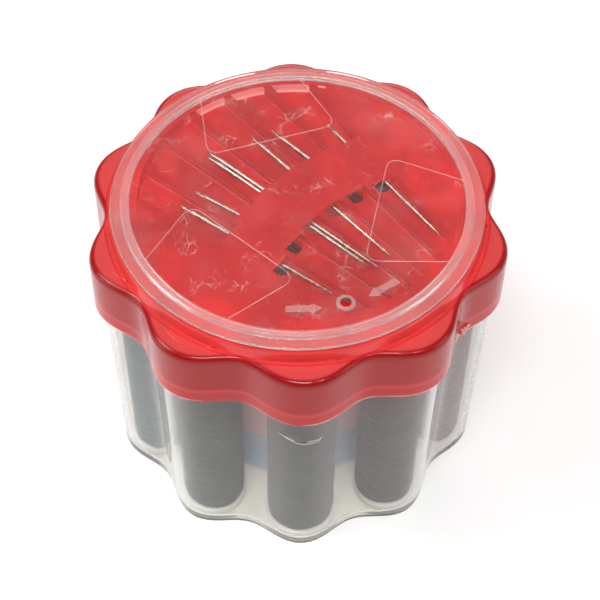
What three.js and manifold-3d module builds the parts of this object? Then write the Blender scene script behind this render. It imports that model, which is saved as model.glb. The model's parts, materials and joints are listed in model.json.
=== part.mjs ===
// A round sewing kit box with ten lobes. Ten thread spools stand upright in the lobes of a clear
// base, three round trays are stacked in the middle, and the red lid holds loose needles in a fan
// of six channels under a clear cover that turns until its small hole lets one needle out.
// Millimetres, +Z up. The origin is on the resting face, on the box's axis, and one lobe points
// along -Y. Angles called bearings run from -Y towards +X.
import * as THREE from "three";
import { mergeVertices } from "three/addons/utils/BufferGeometryUtils.js";
import Module from "manifold-3d";

const wasm = await Module();
wasm.setup();

// ---- Driving dimensions ----

const GAP = 0.3; // between pieces that touch or slide on each other
const LOBES = 10;
const LOBE_STEPS = 10; // facets round one lobe
const ROUND_STEPS = 72; // facets round a large plain circle

// The base cup. Its outline is a circle of this mean radius with a wave on it.
const BASE = {
  foot: 36.9,
  bottom: 38.9,
  bottomZ: 1.9,
  top: 39.75,
  wave: 1.95,
  wall: 1.2,
  floor: 1.5,
  height: 63.3,
  lobedBeyond: 30,
};

// The lid: skirt, rounded top edge, and a round platform with the needle plate.
const LID = {
  skirtBottomZ: 51.3,
  skirtBottom: 41.45,
  skirtTop: 41.3,
  wave: 2.06,
  secondWave: -0.15,
  wall: 1.1,
  edgeZ: 63.2,
  edgeRadius: 1.8,
  topZ: 65.0,
  ceilingZ: 63.7,
};
const PLATFORM = { foot: 38.1, top: 37.2, topZ: 67.6, inner: 36.2, ceilingZ: 65.2 };
const NEEDLE_PLATE = { collar: 33.5, radius: 32.2, collarTopZ: 68.3, topZ: 68.1 };

// The needle channels fan out from a point outside the box.
const FAN = {
  distance: 98.6,
  bearing: 42.4,
  count: 6,
  lean: -0.35,
  pitch: 3.8,
  width: 3.05,
  floorZ: 66.4,
  frontRadius: 31.0,
  bridgeFrom: 92.9,
  bridgeTo: 105.4,
  bow: 0.3,
  bowChannel: 3,
  tunnelRoofZ: 67.6,
  tunnelWidth: 3.5,
  tunnelFront: 90.9,
  tunnelBack: 105.9,
  start: 50,
  end: 140,
};

// The clear cover that turns on the lid.
const COVER = {
  radius: 37.5,
  flangeZ: 67.9,
  flangeTopZ: 68.6,
  ringInner: 33.8,
  ringOuter: 35.3,
  ringTopZ: 69.5,
  plateZ: 68.6,
  plateTopZ: 69.3,
  holeAt: 28.8,
  holeBearing: 16.4,
  holeRadius: 1.1,
  rimRadius: 1.9,
  rimHeight: 0.4,
  arrowTurn: 16,
  arrowHeight: 0.3,
};
const ARROW = { length: 7, halfWidth: 0.75, headLength: 2.2, headHalfWidth: 1.3 };

// Needles: the channel each lies in, how far its eye and tip are from the fan's centre, how far it
// is to one side where it goes under the bridge, and how many degrees it leans that way.
const NEEDLE = {
  radius: 0.33,
  tipLength: 7,
  headRadius: 0.38,
  headLength: 3.2,
  eyeLength: 2.2,
  eyeWidth: 0.3,
  eyeFromEnd: 0.7,
  axisZ: 67.03,
};
const NEEDLES = [
  { channel: 0, eye: 115.8, tip: 76.9, side: -0.8, lean: 0 },
  { channel: 1, eye: 116.0, tip: 91.5, side: 1.15, lean: 6.0 },
  { channel: 2, eye: 121.6, tip: 74.4, side: -0.28, lean: 2.2 },
  { channel: 2, eye: 120.9, tip: 76.6, side: 0.72, lean: 2.2 },
  { channel: 3, eye: 118.7, tip: 74.7, side: -0.8, lean: -1.1 },
  { channel: 4, eye: 117.6, tip: 93.0, side: 1.15, lean: 6.2 },
  { channel: 5, eye: 112.0, tip: 73.0, side: -0.72, lean: 1.4 },
];

const SPOOL = {
  at: 31.7,
  liftZ: 1.8,
  height: 57.4,
  flange: 7.1,
  flangeThickness: 1.3,
  barrel: 4.2,
  bore: 2.4,
  thread: 6.85,
  threadBulge: 7.0,
  steps: 18,
};

const TRAY = {
  radius: 23.6,
  foot: 22.1,
  footHeight: 1.0,
  height: 14.4,
  wall: 1.0,
  floor: 1.2,
  dividerTop: 12.6,
  liftZ: 1.8,
};
const TRAY_PITCH = TRAY.height - TRAY.footHeight + GAP; // each foot nests in the tray below
const TRAYS = [
  { name: "tray_lower", color: 0x6f9fc4, divided: true },
  { name: "tray_middle", color: 0xe08a90, divided: true },
  { name: "tray_upper", color: 0xe8e2da, divided: false },
];

// What the trays hold, placed from each tray's middle.
const SAFETY_PIN = { wire: 0.4, lift: 1.1, claspHalfHeight: 0.8 };
const SAFETY_PINS = [
  { y: 7, turn: 8 },
  { y: -7.5, turn: 175 },
];
const BUTTON = { radius: 5.6, height: 2.2, dishZ: 1.6, hole: 0.8, holeAt: 1.4 };
const BUTTONS = [
  { x: -8, y: -9.5, color: 0xf2ede4 },
  { x: 6.5, y: -9, color: 0x26262a },
  { x: -6, y: 10.5, color: 0xb5523f },
  { x: 8.5, y: 9, color: 0x3f6f9a },
];
const TAPE = { x: -7.6, y: 1.5, inner: 2.2, outer: 12.6, height: 12.5 };
const THIMBLE = { x: 12.6, y: -4.5 };

// ---- Tools for making solids ----

const radians = THREE.MathUtils.degToRad;

function toSolid(geometry) {
  const bare = geometry.clone();
  bare.deleteAttribute("normal");
  bare.deleteAttribute("uv");
  const merged = mergeVertices(bare, 1e-4);
  const corners = Array.from(merged.index.array);
  const kept = [];
  for (let i = 0; i < corners.length; i += 3) {
    const [a, b, c] = corners.slice(i, i + 3);
    if (a !== b && b !== c && c !== a) kept.push(a, b, c);
  }
  const solid = new wasm.Manifold(
    new wasm.Mesh({
      numProp: 3,
      vertProperties: new Float32Array(merged.getAttribute("position").array),
      triVerts: new Uint32Array(kept),
    }),
  );
  if (solid.volume() < 0) throw new Error("a profile runs the wrong way round");
  return solid;
}

function toGeometry(solid) {
  const mesh = solid.getMesh();
  const geometry = new THREE.BufferGeometry();
  geometry.setAttribute("position", new THREE.BufferAttribute(mesh.vertProperties, 3));
  geometry.setIndex(new THREE.BufferAttribute(mesh.triVerts, 1));
  geometry.computeVertexNormals();
  return geometry;
}

// A solid turned about Z from [radius, height] points, listed upwards on the outside.
function turned(points, steps) {
  const profile = points.map(([radius, height]) => new THREE.Vector2(radius, height));
  return new THREE.LatheGeometry(profile, steps).rotateX(Math.PI / 2);
}

// A turned solid whose points beyond a radius are pushed in and out once for each lobe.
function lobed(points, roundWithin, wave, secondWave = 0) {
  const geometry = turned(points, LOBES * LOBE_STEPS);
  const position = geometry.getAttribute("position");
  for (let i = 0; i < position.count; i++) {
    const x = position.getX(i);
    const y = position.getY(i);
    const radius = Math.hypot(x, y);
    if (radius <= roundWithin) continue;
    const bearing = Math.atan2(x, -y);
    const push =
      wave * Math.cos(LOBES * bearing) + secondWave * Math.cos(2 * LOBES * bearing);
    position.setX(i, (x * (radius + push)) / radius);
    position.setY(i, (y * (radius + push)) / radius);
  }
  return geometry;
}

function prism(outline, fromZ, toZ) {
  const shape = new THREE.Shape(outline.map(([x, y]) => new THREE.Vector2(x, y)));
  const options = { depth: toZ - fromZ, bevelEnabled: false };
  return new THREE.ExtrudeGeometry(shape, options).translate(0, 0, fromZ);
}

function rod(radius, fromZ, toZ, steps) {
  const shaft = new THREE.CylinderGeometry(radius, radius, toZ - fromZ, steps);
  return shaft.rotateX(Math.PI / 2).translate(0, 0, (fromZ + toZ) / 2);
}

// A point on the ground plane at a distance from the axis in the direction of a bearing.
function placed(distance, bearing) {
  const angle = radians(bearing);
  return [distance * Math.sin(angle), -distance * Math.cos(angle)];
}

const box = new THREE.Group();

function add(name, geometry, look, parent = box) {
  const material = new THREE.MeshStandardMaterial(look);
  const mesh = new THREE.Mesh(geometry, material);
  mesh.name = name;
  parent.add(mesh);
  return mesh;
}

const CLEAR = { color: 0xdfe4e2, roughness: 0.25, transparent: true, opacity: 0.35 };
const RED = { color: 0xd8141c, roughness: 0.2, transparent: true, opacity: 0.75 };
const STEEL = { color: 0xc9ccc8, roughness: 0.25, metalness: 1 };
const BRASS = { color: 0xc9a24a, roughness: 0.3, metalness: 1 };
const WHITE = { color: 0xe6e4dd, roughness: 0.5 };

// ---- The box itself ----

function baseCup() {
  const profile = [
    [0, 0],
    [BASE.foot, 0],
    [BASE.bottom - 0.6, 0.5],
    [BASE.bottom, BASE.bottomZ],
    [BASE.top, BASE.height],
    [BASE.top - BASE.wall, BASE.height],
    [BASE.bottom - BASE.wall, BASE.floor + 1.2],
    [BASE.foot - 0.2, BASE.floor],
    [0, BASE.floor],
  ];
  return lobed(profile, BASE.lobedBeyond, BASE.wave);
}

// The lobed skirt and shoulder of the lid, open in the middle where the platform goes.
function lidShell() {
  const inner = PLATFORM.inner + 0.3;
  const profile = [
    [inner, LID.ceilingZ],
    [LID.skirtTop - LID.wall, LID.ceilingZ],
    [LID.skirtBottom - LID.wall, LID.skirtBottomZ],
    [LID.skirtBottom, LID.skirtBottomZ],
    [LID.skirtTop, LID.edgeZ],
    [LID.skirtTop - 0.5 * LID.edgeRadius, LID.topZ - 0.5],
    [LID.skirtTop - LID.edgeRadius, LID.topZ],
    [inner + 0.5, LID.topZ],
    [inner, LID.ceilingZ],
  ];
  return toSolid(lobed(profile, PLATFORM.foot, LID.wave, LID.secondWave));
}

// The platform's outer surface and its flat top, with the collar that the cover turns on.
function platform() {
  const rootZ = LID.ceilingZ + 0.2;
  const profile = [
    [0, PLATFORM.ceilingZ],
    [PLATFORM.inner, PLATFORM.ceilingZ],
    [PLATFORM.inner + 0.3, rootZ],
    [PLATFORM.foot - 0.1, rootZ],
    [PLATFORM.foot, LID.topZ + 0.2],
    [PLATFORM.foot - 0.4, PLATFORM.topZ - 0.5],
    [PLATFORM.top, PLATFORM.topZ],
    [NEEDLE_PLATE.collar, PLATFORM.topZ],
    [NEEDLE_PLATE.collar, NEEDLE_PLATE.collarTopZ],
    [NEEDLE_PLATE.radius, NEEDLE_PLATE.collarTopZ],
    [NEEDLE_PLATE.radius, NEEDLE_PLATE.topZ],
    [0, NEEDLE_PLATE.topZ],
  ];
  return toSolid(turned(profile, ROUND_STEPS));
}

const fanCentre = placed(FAN.distance, FAN.bearing);

// The direction from the fan's centre back along one channel, as an angle from +X.
function channelAngle(channel) {
  const middle = (FAN.count - 1) / 2;
  return radians(90 + FAN.bearing + FAN.lean + (middle - channel) * FAN.pitch);
}

// A point in the fan, at a distance from its centre along a channel and a step to one side.
function inFan(channel, distance, side = 0) {
  const angle = channelAngle(channel);
  return [
    fanCentre[0] + distance * Math.cos(angle) - side * Math.sin(angle),
    fanCentre[1] + distance * Math.sin(angle) + side * Math.cos(angle),
  ];
}

// A stretch of one channel, with sides that spread away from the fan's centre.
function channelStretch(channel, from, to, fromZ, toZ) {
  const half = radians(FAN.width / 2);
  const outline = [
    inFan(channel, from, -from * half),
    inFan(channel, from, from * half),
    inFan(channel, to, to * half),
    inFan(channel, to, -to * half),
  ];
  return toSolid(prism(outline, fromZ, toZ));
}

// How far the bridge lies towards the fan's centre at a channel: its edges bow more than the fan does.
function bridgeBow(channel) {
  return FAN.bow * (channel - FAN.bowChannel) ** 2;
}

// The hole through the floor that leaves the bridge standing: it has a rounded front end.
function tunnel(channel) {
  const half = FAN.tunnelWidth / 2;
  const bow = bridgeBow(channel);
  const outline = [inFan(channel, FAN.tunnelBack - bow, -half), inFan(channel, FAN.tunnelBack - bow, half)];
  const frontArc = 4;
  for (let i = 0; i <= frontArc; i++) {
    const turn = radians(90 - (180 * i) / frontArc);
    const distance = FAN.tunnelFront - bow + half - half * Math.cos(turn);
    outline.push(inFan(channel, distance, half * Math.sin(turn)));
  }
  return toSolid(prism(outline.reverse(), PLATFORM.ceilingZ - 1, FAN.tunnelRoofZ));
}

function lid() {
  const above = NEEDLE_PLATE.topZ + 1;
  const backEnd = toSolid(rod(NEEDLE_PLATE.radius, FAN.floorZ, above, ROUND_STEPS));
  const frontEnd = toSolid(rod(FAN.frontRadius, FAN.floorZ, above, ROUND_STEPS));
  let body = lidShell().add(platform());
  for (let channel = 0; channel < FAN.count; channel++) {
    const bow = bridgeBow(channel);
    const back = channelStretch(channel, FAN.bridgeTo - bow, FAN.end, FAN.floorZ, above);
    const front = channelStretch(channel, FAN.start, FAN.bridgeFrom - bow, FAN.floorZ, above);
    body = body.subtract(back.intersect(backEnd));
    body = body.subtract(front.intersect(frontEnd));
    body = body.subtract(tunnel(channel));
  }
  return toGeometry(body);
}

// A raised arrow on the cover, lying along +Y before it is turned into place.
function arrow() {
  const end = ARROW.length / 2;
  const neck = end - ARROW.headLength;
  const outline = [
    [-ARROW.halfWidth, -end],
    [ARROW.halfWidth, -end],
    [ARROW.halfWidth, neck],
    [ARROW.headHalfWidth, neck],
    [0, end],
    [-ARROW.headHalfWidth, neck],
    [-ARROW.halfWidth, neck],
  ];
  return prism(outline, COVER.plateTopZ - 0.1, COVER.plateTopZ + COVER.arrowHeight);
}

function cover() {
  const profile = [
    [0, COVER.plateZ],
    [COVER.ringInner, COVER.plateZ],
    [COVER.ringInner, COVER.flangeZ],
    [COVER.radius - 0.15, COVER.flangeZ],
    [COVER.radius, COVER.flangeZ + 0.15],
    [COVER.radius, COVER.flangeTopZ - 0.1],
    [COVER.ringOuter, COVER.flangeTopZ],
    [COVER.ringOuter - 0.1, COVER.ringTopZ - 0.3],
    [COVER.ringOuter - 0.6, COVER.ringTopZ],
    [COVER.ringInner + 0.4, COVER.ringTopZ - 0.1],
    [COVER.ringInner, COVER.plateTopZ],
    [0, COVER.plateTopZ],
  ];
  const rimTopZ = COVER.plateTopZ + COVER.rimHeight;
  const [holeX, holeY] = placed(COVER.holeAt, COVER.holeBearing);
  const rim = rod(COVER.rimRadius, COVER.plateTopZ - 0.1, rimTopZ, 16);
  const hole = rod(COVER.holeRadius, COVER.plateZ - 1, rimTopZ + 1, 12);
  let body = toSolid(turned(profile, ROUND_STEPS));
  body = body.add(toSolid(rim.translate(holeX, holeY, 0)));
  for (const side of [-1, 1]) {
    const bearing = COVER.holeBearing + side * COVER.arrowTurn;
    const [x, y] = placed(COVER.holeAt, bearing);
    const pointing = radians(bearing - side * 90 + 180);
    body = body.add(toSolid(arrow().rotateZ(pointing).translate(x, y, 0)));
  }
  return toGeometry(body.subtract(toSolid(hole.translate(holeX, holeY, 0))));
}

// ---- Needles ----

// A needle along +X from its tip at 0, with a slightly thicker head and a slot for its eye.
function needle(length) {
  const head = length - NEEDLE.headLength;
  const profile = [
    [0, 0],
    [NEEDLE.radius * 0.45, NEEDLE.tipLength * 0.35],
    [NEEDLE.radius, NEEDLE.tipLength],
    [NEEDLE.radius, head - 2],
    [NEEDLE.headRadius, head + 0.6],
    [NEEDLE.headRadius, length - 0.5],
    [0, length],
  ];
  const body = toSolid(turned(profile, 8).rotateY(Math.PI / 2));
  const through = 4 * NEEDLE.headRadius;
  const eye = new THREE.BoxGeometry(NEEDLE.eyeLength, NEEDLE.eyeWidth, through);
  eye.translate(length - NEEDLE.eyeFromEnd - NEEDLE.eyeLength / 2, 0, 0);
  return toGeometry(body.subtract(toSolid(eye)));
}

function addNeedles() {
  NEEDLES.forEach((one, index) => {
    const mesh = add("needle_" + (index + 1), needle(one.eye - one.tip), STEEL);
    const lean = radians(one.lean);
    const tipSide = one.side - (FAN.bridgeTo - one.tip) * Math.tan(lean);
    const [x, y] = inFan(one.channel, one.tip, tipSide);
    mesh.position.set(x, y, NEEDLE.axisZ);
    mesh.rotation.z = channelAngle(one.channel) + lean;
  });
}

// ---- Spools ----

// Dark grey, brown-grey, pale rose, navy, white, yellow, violet, cream, teal and dark green.
const THREAD_COLORS = [
  0x2b2c2e, 0x4a3f3d, 0xcf9aa6, 0x23304f, 0xe9e7e0, 0xd9b53a, 0x6a4a86, 0xd9cdb6, 0x5d8d8c,
  0x35423d,
];

function spoolCore() {
  const end = SPOOL.height - SPOOL.flangeThickness;
  const profile = [
    [SPOOL.bore, 0],
    [SPOOL.flange, 0],
    [SPOOL.flange, SPOOL.flangeThickness],
    [SPOOL.barrel, SPOOL.flangeThickness],
    [SPOOL.barrel, end],
    [SPOOL.flange, end],
    [SPOOL.flange, SPOOL.height],
    [SPOOL.bore, SPOOL.height],
    [SPOOL.bore, 0],
  ];
  return toGeometry(toSolid(turned(profile, SPOOL.steps)));
}

function threadWinding() {
  const low = SPOOL.flangeThickness + GAP;
  const high = SPOOL.height - low;
  const inner = SPOOL.barrel + GAP;
  const profile = [
    [inner, low],
    [SPOOL.thread, low],
    [SPOOL.threadBulge, SPOOL.height / 2],
    [SPOOL.thread, high],
    [inner, high],
    [inner, low],
  ];
  return toGeometry(toSolid(turned(profile, SPOOL.steps)));
}

function addSpools() {
  const core = spoolCore();
  const winding = threadWinding();
  THREAD_COLORS.forEach((color, index) => {
    const number = String(index + 1).padStart(2, "0");
    const spool = new THREE.Group();
    const [x, y] = placed(SPOOL.at, (index * 360) / LOBES);
    spool.position.set(x, y, SPOOL.liftZ);
    box.add(spool);
    add("spool_core_" + number, core, WHITE, spool);
    add("thread_" + number, winding, { color, roughness: 0.9 }, spool);
  });
}

// ---- Trays and what they hold ----

// A round tray on a foot that nests in the tray below, with a wall across it if it is divided.
function trayShell(divided) {
  const inner = TRAY.radius - TRAY.wall;
  const profile = [
    [0, 0],
    [TRAY.foot, 0],
    [TRAY.foot, TRAY.footHeight],
    [TRAY.radius, TRAY.footHeight],
    [TRAY.radius, TRAY.height],
    [inner, TRAY.height],
    [inner, TRAY.floor + 1.6],
    [inner - 1.5, TRAY.floor],
    [0, TRAY.floor],
  ];
  const shell = toSolid(turned(profile, 40));
  if (!divided) return toGeometry(shell);
  const height = TRAY.dividerTop - TRAY.footHeight;
  const wall = new THREE.BoxGeometry(2 * inner + 0.5, TRAY.wall, height);
  wall.translate(0, 0, TRAY.footHeight + height / 2);
  return toGeometry(shell.add(toSolid(wall)));
}

// A dished button with two sewing holes.
function button() {
  const profile = [
    [0, 0],
    [BUTTON.radius - 1, 0],
    [BUTTON.radius, 0.7],
    [BUTTON.radius, 1.7],
    [BUTTON.radius - 0.7, BUTTON.height],
    [BUTTON.radius - 1.7, BUTTON.dishZ],
    [0, BUTTON.dishZ],
  ];
  let body = toSolid(turned(profile, 20));
  for (const side of [-1, 1]) {
    const hole = rod(BUTTON.hole, -1, BUTTON.height + 1, 8).translate(side * BUTTON.holeAt, 0, 0);
    body = body.subtract(toSolid(hole));
  }
  return toGeometry(body);
}

// The wire of a safety pin: two arms that meet in a round spring bend, lying flat.
function safetyPinWire() {
  const arm = [
    [-12.6, 2.2],
    [-6, 2.5],
    [9, 2.6],
    [12.4, 1.7],
  ];
  const back = arm.map(([x, y]) => [x, -y]).reverse();
  const points = [...arm, [13.4, 0], ...back].map(([x, y]) => new THREE.Vector3(x, y, 0));
  const path = new THREE.CatmullRomCurve3(points);
  const section = new THREE.Shape();
  section.absarc(0, 0, SAFETY_PIN.wire, 0, 2 * Math.PI, false);
  const options = { steps: 30, curveSegments: 3, bevelEnabled: false, extrudePath: path };
  return new THREE.ExtrudeGeometry(section, options);
}

// The pressed cap that covers the ends of a safety pin's two arms.
function safetyPinClasp() {
  const cap = [
    [-17, -2],
    [-16, -3.2],
    [-12.9, -3.2],
    [-12.9, 3.2],
    [-16, 3.2],
    [-17, 2],
  ];
  return prism(cap, -SAFETY_PIN.claspHalfHeight, SAFETY_PIN.claspHalfHeight);
}

function addSafetyPin(number, y, turn, tray) {
  const pin = new THREE.Group();
  pin.position.set(0, y, TRAY.floor + SAFETY_PIN.lift);
  pin.rotation.z = radians(turn);
  tray.add(pin);
  add("safety_pin_wire_" + number, safetyPinWire(), BRASS, pin);
  add("safety_pin_clasp_" + number, safetyPinClasp(), BRASS, pin);
}

// A thimble standing on its flat end with its mouth up.
function thimble() {
  const profile = [
    [0, 0],
    [5.0, 0],
    [6.4, 2],
    [7.7, 18.4],
    [8.1, 18.6],
    [8.1, 20],
    [7.1, 20],
    [5.7, 2.6],
    [4.6, 1],
    [0, 1],
  ];
  return toGeometry(toSolid(turned(profile, 20)));
}

// A tape measure rolled up, lying on its side so that its turns show from above.
function rolledTape() {
  const profile = [
    [TAPE.inner, 0],
    [TAPE.outer, 0],
    [TAPE.outer, TAPE.height],
    [TAPE.inner, TAPE.height],
    [TAPE.inner, 0],
  ];
  return toGeometry(toSolid(turned(profile, 32)));
}

function addTrays() {
  const levels = TRAYS.map(({ name, color, divided }, index) => {
    const level = new THREE.Group();
    level.position.z = TRAY.liftZ + index * TRAY_PITCH;
    box.add(level);
    add(name, trayShell(divided), { color, roughness: 0.35 }, level);
    return level;
  });
  const [lower, middle, upper] = levels;

  SAFETY_PINS.forEach(({ y, turn }, index) => addSafetyPin(index + 1, y, turn, lower));

  BUTTONS.forEach(({ x, y, color }, index) => {
    const mesh = add("button_" + (index + 1), button(), { color, roughness: 0.3 }, middle);
    mesh.position.set(x, y, TRAY.floor + GAP);
  });

  const tape = add("tape_measure", rolledTape(), { color: 0x2d2f3a, roughness: 0.6 }, upper);
  tape.position.set(TAPE.x, TAPE.y, TRAY.floor + GAP);
  const thimbleMesh = add("thimble", thimble(), STEEL, upper);
  thimbleMesh.position.set(THIMBLE.x, THIMBLE.y, TRAY.floor + GAP);
}

// ---- The whole ----

add("base_cup", baseCup(), CLEAR);
add("lid", lid(), RED);
add("needle_cover", cover(), CLEAR);
addNeedles();
addSpools();
addTrays();

export default box;
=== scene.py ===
"""A round sewing kit box with ten lobes: a milky clear base with thread spools and trays, a red
see-through lid with needles in a fan of channels, and a clear cover that turns on it.

Lengths are in millimetres in this file's own names and become metres where a mesh is made.
A bearing is an angle about the box's axis, from -Y towards +X."""

import json
import math

import bmesh
import bpy
from mathutils import Matrix, Vector


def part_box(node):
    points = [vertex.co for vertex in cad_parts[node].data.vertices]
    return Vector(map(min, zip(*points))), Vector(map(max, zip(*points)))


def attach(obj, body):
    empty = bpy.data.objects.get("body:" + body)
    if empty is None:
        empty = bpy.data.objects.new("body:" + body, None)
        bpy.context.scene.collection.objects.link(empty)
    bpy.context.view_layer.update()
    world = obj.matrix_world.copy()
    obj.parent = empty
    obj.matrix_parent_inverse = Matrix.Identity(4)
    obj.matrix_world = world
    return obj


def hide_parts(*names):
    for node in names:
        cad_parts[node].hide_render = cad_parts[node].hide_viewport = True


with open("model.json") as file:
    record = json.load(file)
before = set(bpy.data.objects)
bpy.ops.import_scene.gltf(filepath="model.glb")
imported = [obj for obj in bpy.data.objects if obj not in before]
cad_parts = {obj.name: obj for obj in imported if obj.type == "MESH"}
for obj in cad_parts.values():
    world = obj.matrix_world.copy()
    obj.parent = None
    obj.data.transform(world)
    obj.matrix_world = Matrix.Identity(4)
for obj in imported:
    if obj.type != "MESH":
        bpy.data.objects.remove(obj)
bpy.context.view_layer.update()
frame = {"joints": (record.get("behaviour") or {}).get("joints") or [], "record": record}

MM = 0.001
FULL_TURN = 2 * math.pi
RECORD = frame["record"]
BODY_OF = {node: body for body, nodes in RECORD["behaviour"]["bodies"].items() for node in nodes}
SLOT_OF = {part["node"]: part["material_slot"] for part in RECORD["subparts"]}
COLOUR_OF = {slot["slot"]: slot["base_color"][:3] for slot in RECORD["materials"]}


def extent(node):
    """The lowest and highest corner of a CAD node, in millimetres."""
    low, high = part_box(node)
    return Vector(low) / MM, Vector(high) / MM


def plan_middle(node):
    """The middle of a CAD node as seen from above, in millimetres."""
    low, high = extent(node)
    return (low.x + high.x) / 2, (low.y + high.y) / 2


# ---- Driving dimensions, in millimetres ----

LOBES = 10
LOBE_STEPS = 24

BASE_TOP_Z = extent("base_cup")[1].z
BASE = {
    "foot": 36.9,
    "bottom": 38.9,
    "bottom_z": 1.9,
    "top": 39.75,
    "wave": 1.95,
    "plain_within": 30,
    "wall": 1.2,
    "floor": 1.5,
}
BASE_STEP_Z = 54.7
BASE_STEP = 0.28

COVER_RADIUS = extent("needle_cover")[1].x
COVER_FLANGE_Z = extent("needle_cover")[0].z
COVER = {
    "flange": 0.7,
    "ring_inner": 33.8,
    "ring_outer": 35.3,
    "ring": 1.6,
    "plate_low": 0.7,
    "plate": 1.4,
    "knurl_pitch": 0.42,
    "knurl": 0.14,
}
KNURLS = round(FULL_TURN * COVER_RADIUS / COVER["knurl_pitch"])
HOLE = {"at": 28.8, "bearing": 16.4, "radius": 1.1, "rim": 1.9, "rim_height": 0.36}
ARROW = {"turn": 16, "length": 7, "half": 0.75, "head": 2.2, "head_half": 1.3, "height": 0.28}
ARROWS_WITHIN = 13  # How far from the hole the arrows reach.
PANEL = {"base": 16.1, "half": 14.0, "end_half": 10.8, "corner": 2.6, "wire": 0.1}

LID_BOTTOM_Z = extent("lid")[0].z
LID = {
    "skirt_bottom": 41.44,
    "skirt_top": 41.3,
    "wave": 2.06,
    "second_wave": -0.15,
    "wall": 1.1,
    "edge_radius": 1.8,
    "edge_z": 62.9,
    "top_z": 65.0,
    "ceiling_z": 63.7,
    "foot": 38.1,
    "platform_top": 37.2,
    "platform_top_z": 67.6,
    "platform_inner": 36.2,
    "platform_ceiling_z": 65.2,
    "collar": 33.5,
    "plate": 32.2,
    "collar_top_z": 68.3,
    "plate_z": 68.1,
}
FAN = {
    "distance": 98.6,
    "bearing": 42.4,
    "count": 6,
    "lean": -0.35,
    "pitch": 3.8,
    "width": 3.05,
    "floor_z": 66.4,
    "front_radius": 31.0,
    "bridge_from": 92.9,
    "bridge_to": 105.4,
    "bow": 0.3,
    "bow_channel": 3,
    "tunnel_roof_z": 67.6,
    "tunnel_width": 3.5,
    "tunnel_front": 90.9,
    "tunnel_back": 105.9,
    "start": 50,
    "end": 140,
}

# Wound thread: pitches in millimetres, and slants in pattern repeats round the spool.
THREAD = {
    "layer_pitch": 2.3,
    "layer_slant": 3,
    "cross_rate": 0.83,
    "cross_slant": 4,
    "strand_pitch": 0.34,
    "strand_slant": 22,
    "layer_height": 0.07,
    "cross_height": 0.05,
    "end_drop": 0.5,
}

# A needle's head and eye, in lengths back from its blunt end.
NEEDLE = {"head": 3.2, "eye_half": 0.19, "eye_from": 3.0, "eye_to": 0.6, "flattened": 0.25, "taper": 1.2}

# Where each safety pin lies in its tray: its turn in degrees, and its middle.
SAFETY_PINS = {1: (8, Vector((0, 7, 0))), 2: (175, Vector((0, -7.5, 0)))}

# Marks on the base, as (bearing, height) points on its wall: a scratch, small scuffs and a speck.
BASE_MARKS = {
    "pale": [
        [(-7, 44.3), (-4.3, 43.3), (-2, 42.5), (0, 42.2), (2.4, 42.3), (4.3, 42.5), (4.6, 43.6)],
        [(-5.2, 43.9), (-2.6, 43.2), (0.8, 42.9), (2.6, 43.2), (4.2, 43.0)],
        [(-38.6, 48.6), (-38.2, 48.2), (-37.8, 48.6)],
        [(-36.6, 48.9), (-35.4, 49.0), (-34.6, 48.4), (-35.2, 47.9)],
        [(-29.6, 49.8), (-28.6, 49.7), (-27.8, 49.9)],
    ],
    "dark": [[(0, 21.2), (0.15, 21.8)]],
}
MARK_RADIUS = 0.14

# The torn stub on the hem. Each ridge has a step along the hem, a rise, a length and a tilt in degrees.
# Its points lie at shares of its length, each a little way out from the wall.
SCAR = {
    "bearing": 56,
    "z": 52.8,
    "radius": 0.28,
    "ridges": [
        (-1.0, 0.5, 1.9, 70),
        (-0.3, 0.1, 1.5, 100),
        (0.5, -0.1, 1.7, 55),
        (0.9, 0.6, 1.1, 20),
        (0.1, -0.7, 2.0, 5),
    ],
    "points": [(-0.5, 0.0), (-0.28, 0.28), (0, 0.12), (0.25, 0.34), (0.5, 0.05)],
}


# ---- Tools for making meshes ----

SMOOTH_BELOW = 35


def place_object(name, data):
    """A new object in the scene."""
    made = bpy.data.objects.new(name, data)
    bpy.context.scene.collection.objects.link(made)
    return made


def shade(mesh, smooth_below=SMOOTH_BELOW):
    """Smooth faces, with sharp edges where they turn by more than an angle in degrees."""
    mesh.shade_smooth()
    mesh.set_sharp_from_angle(angle=math.radians(smooth_below))


def show(name, bm, smooth_below=SMOOTH_BELOW):
    """An object of a mesh."""
    mesh = bpy.data.meshes.new(name)
    bm.normal_update()
    bm.to_mesh(mesh)
    bm.free()
    shade(mesh, smooth_below)
    return place_object(name, mesh)


def rounded(corners, steps=5, closed=False):
    """An outline through (x, y, fillet) corners, each rounded off by its fillet."""
    outline = []
    for i, (x, y, fillet) in enumerate(corners):
        here = Vector((x, y))
        if not fillet or (not closed and i in (0, len(corners) - 1)):
            outline.append((x, y))
            continue
        back = Vector(corners[i - 1][:2]) - here
        ahead = Vector(corners[(i + 1) % len(corners)][:2]) - here
        reach = fillet / math.tan(back.angle(ahead) / 2)
        reach = min(reach, 0.49 * back.length, 0.49 * ahead.length)
        start = here + back.normalized() * reach
        end = here + ahead.normalized() * reach
        for k in range(steps + 1):
            t = k / steps
            outline.append(tuple(start.lerp(here, t).lerp(here.lerp(end, t), t)))
    return outline


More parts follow.
